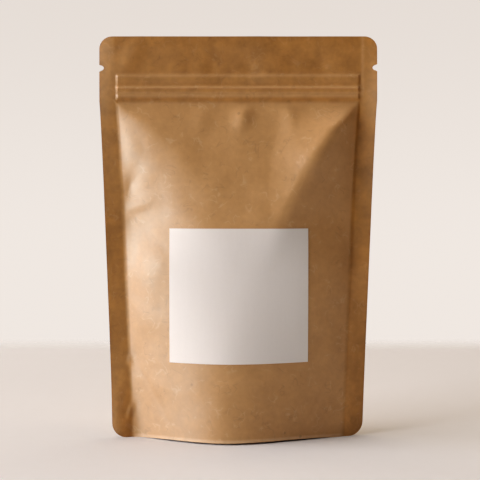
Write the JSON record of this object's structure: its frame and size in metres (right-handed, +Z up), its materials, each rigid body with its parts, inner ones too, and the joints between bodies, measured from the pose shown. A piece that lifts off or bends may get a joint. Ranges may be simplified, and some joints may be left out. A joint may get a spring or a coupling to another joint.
{
  "type": "coffee bag",
  "caption": "Shut stand-up kraft paper coffee pouch with a press-to-close zip, tear notches, side seals, a bowed gusset base and a blank square label.",
  "frame": {"origin": "on the table, under the middle of the pouch", "axes": "+Z up along the pouch, +X along the zip line to the right as the label is read, -Y out of the labelled front panel"},
  "size_m": [0.1204, 0.038, 0.1745],
  "materials": {
    "kraft_laminate": "satin brown kraft paper laminate with fine fibres",
    "label_paper": "matt white uncoated paper"
  },
  "bodies": {
    "root": {"pouch": "kraft_laminate", "label": "label_paper"}
  },
  "joints": []
}
